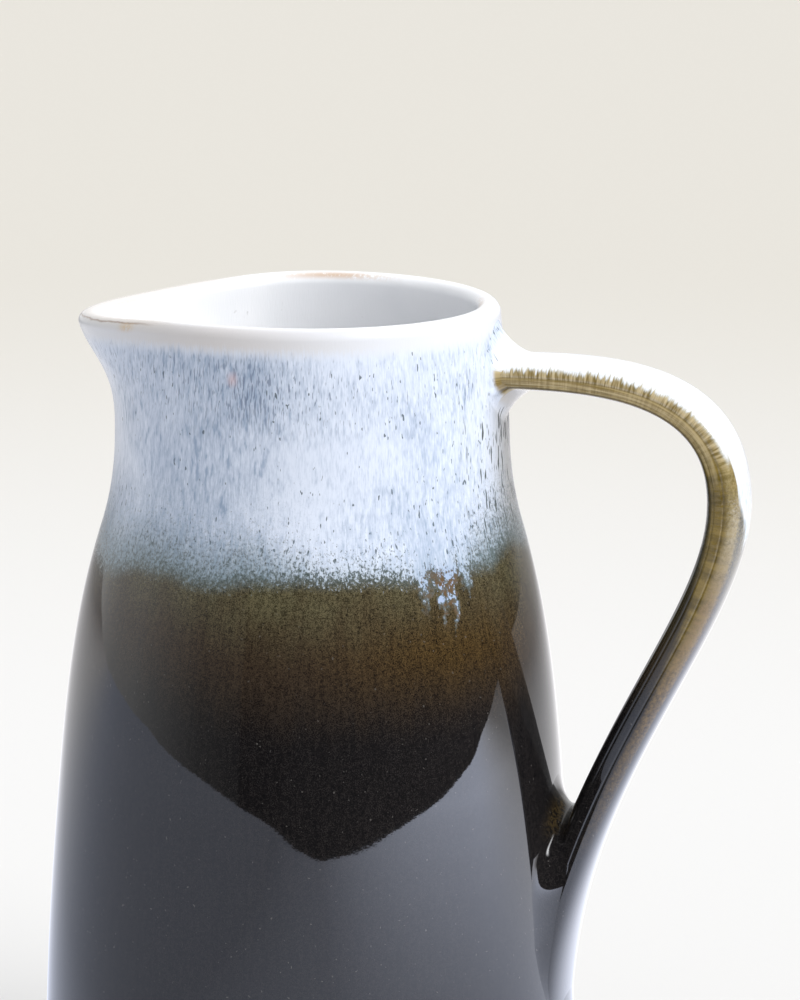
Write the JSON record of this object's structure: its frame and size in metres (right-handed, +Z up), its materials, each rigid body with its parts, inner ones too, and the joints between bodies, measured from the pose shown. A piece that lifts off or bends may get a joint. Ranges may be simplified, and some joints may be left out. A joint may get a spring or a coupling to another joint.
{
  "type": "milk jug",
  "caption": "Tall stoneware milk jug with a round foot, full belly, narrower straight neck, pulled pouring lip and a long strap handle.",
  "frame": {"origin": "on the surface that the foot ring stands on, under the middle of the jug's overall length from belly to handle", "axes": "+Z up along the jug's axis, +X towards the handle, -X towards the pouring lip"},
  "size_m": [0.1491, 0.1128, 0.19],
  "materials": {
    "body_glaze": "gloss: streaked white and pale blue above, olive brown below that, black-brown at the belly, bare clay under the foot",
    "handle_glaze": "gloss: white on its outer face, olive brown on its sides, with tan where the glaze breaks over the edges",
    "upper_joint_glaze": "gloss: white and pale blue",
    "lower_joint_glaze": "gloss: black-brown, amber where it is thin"
  },
  "bodies": {
    "root": {"body": "body_glaze", "handle": "handle_glaze", "upper_handle_joint": "upper_joint_glaze", "lower_handle_joint": "lower_joint_glaze"}
  },
  "joints": []
}
